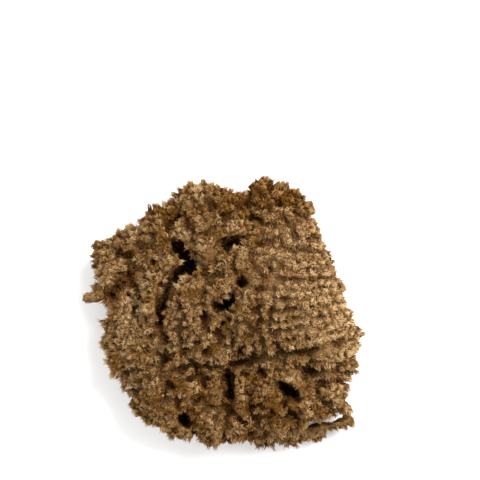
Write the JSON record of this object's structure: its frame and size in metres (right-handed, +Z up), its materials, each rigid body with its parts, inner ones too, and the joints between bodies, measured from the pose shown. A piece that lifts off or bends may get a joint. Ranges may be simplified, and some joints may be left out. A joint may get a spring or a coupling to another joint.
{
  "type": "sea sponge",
  "caption": "Natural wool sea sponge: one lobed, tufted mass with open water canals, lying on its trimmed flat base; used to dab, wash and lay on paint.",
  "frame": {"origin": "under the middle of the sponge's bounding box, on the plane of its trimmed base", "axes": "+Z up, out of the tufted face; +Y towards the upper rim, +X to the right, as the sponge is seen from above"},
  "size_m": [0.1398, 0.1396, 0.0589],
  "materials": {
    "spongin": "matte dry spongin fibre, golden brown at the tuft tips and dark brown in the canals"
  },
  "bodies": {
    "root": {"sponge": "spongin"}
  },
  "joints": []
}
